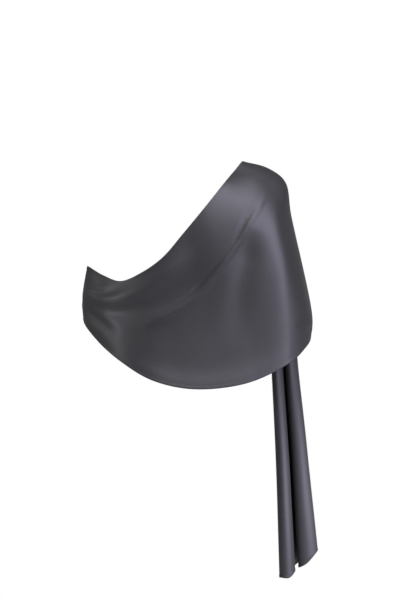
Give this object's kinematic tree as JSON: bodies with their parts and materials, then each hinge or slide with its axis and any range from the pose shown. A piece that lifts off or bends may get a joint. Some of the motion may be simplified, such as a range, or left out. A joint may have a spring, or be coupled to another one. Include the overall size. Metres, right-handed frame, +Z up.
{
  "type": "evening stole",
  "caption": "Plain charcoal satin evening stole in its worn form: over the right shoulder, across the back and over the left arm, with a long hanging end.",
  "frame": {"origin": "top of the wearer's right shoulder, just under the cloth, where the shoulder carries the stole", "axes": "+Z up, +Y the way the wearer faces, +X towards the wearer's right side"},
  "size_m": [0.5158, 0.2883, 0.9016],
  "materials": {
    "satin": "charcoal satin weave, soft gloss"
  },
  "bodies": {
    "root": {"left_end": "satin", "back_drape": "satin", "right_front": "satin", "right_tail": "satin"}
  },
  "joints": []
}
